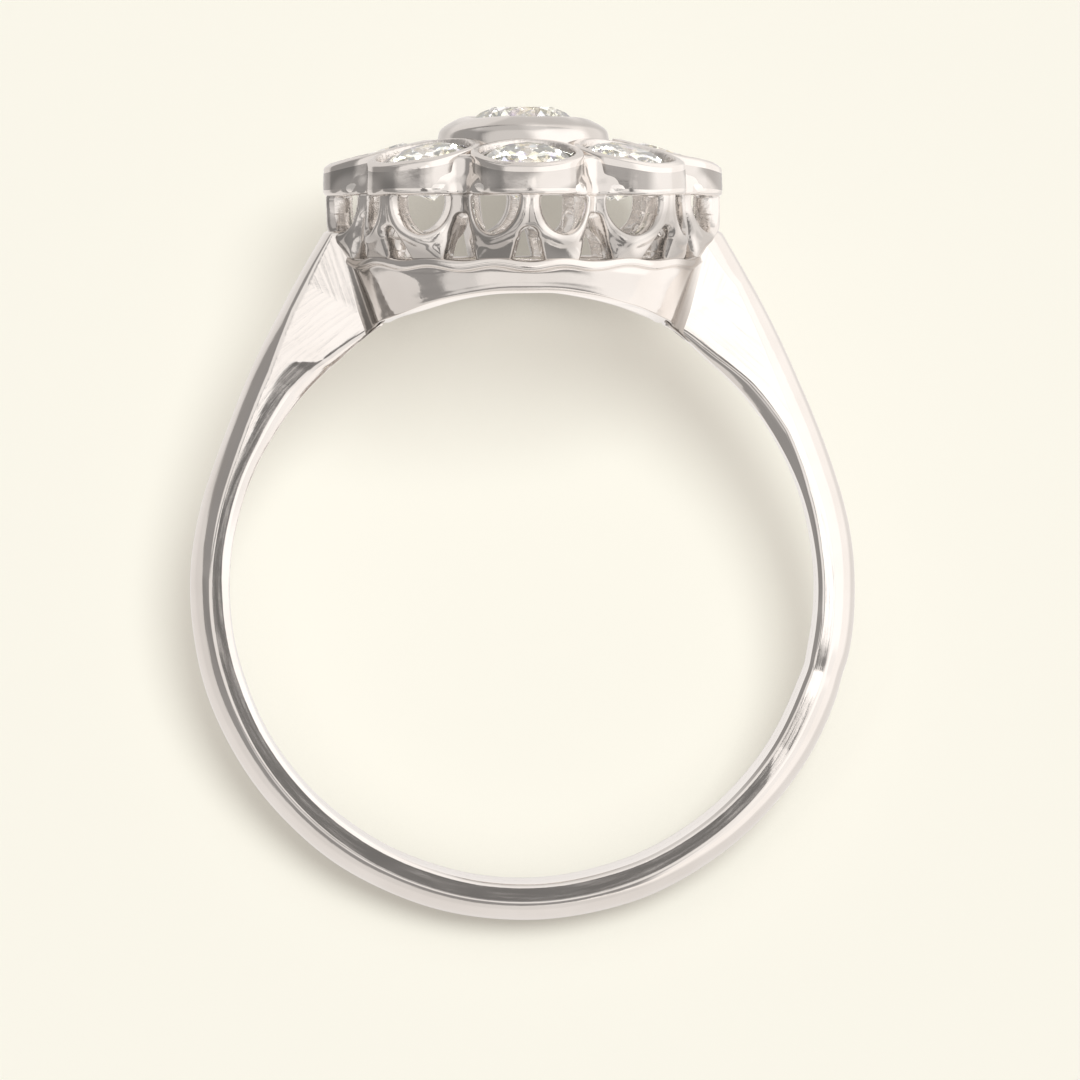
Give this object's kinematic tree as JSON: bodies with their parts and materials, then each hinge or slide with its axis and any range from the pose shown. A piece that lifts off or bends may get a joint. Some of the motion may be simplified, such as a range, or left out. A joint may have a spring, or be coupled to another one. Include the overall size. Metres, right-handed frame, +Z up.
{
  "type": "daisy cluster ring",
  "caption": "Finger ring with a daisy head: a raised round stone among leaning petal stones, over a pierced gallery, a tapered base and a plain domed band.",
  "frame": {"origin": "centre of the ring's bounding box, at the surface that it lies on", "axes": "+Z up from the surface, +Y from the back of the band towards the head, +X across the ring, seen from above; the finger axis leans 13.5 degrees from +Z towards -Y"},
  "size_m": [0.0192, 0.0232, 0.0115],
  "materials": {
    "white_gold": "polished",
    "diamond": "polished"
  },
  "bodies": {
    "root": {"ring_mount": "white_gold", "centre_stone": "diamond", "petal_stone_1": "diamond", "petal_stone_2": "diamond", "petal_stone_3": "diamond", "petal_stone_4": "diamond", "petal_stone_5": "diamond", "petal_stone_6": "diamond", "petal_stone_7": "diamond", "petal_stone_8": "diamond"}
  },
  "joints": []
}
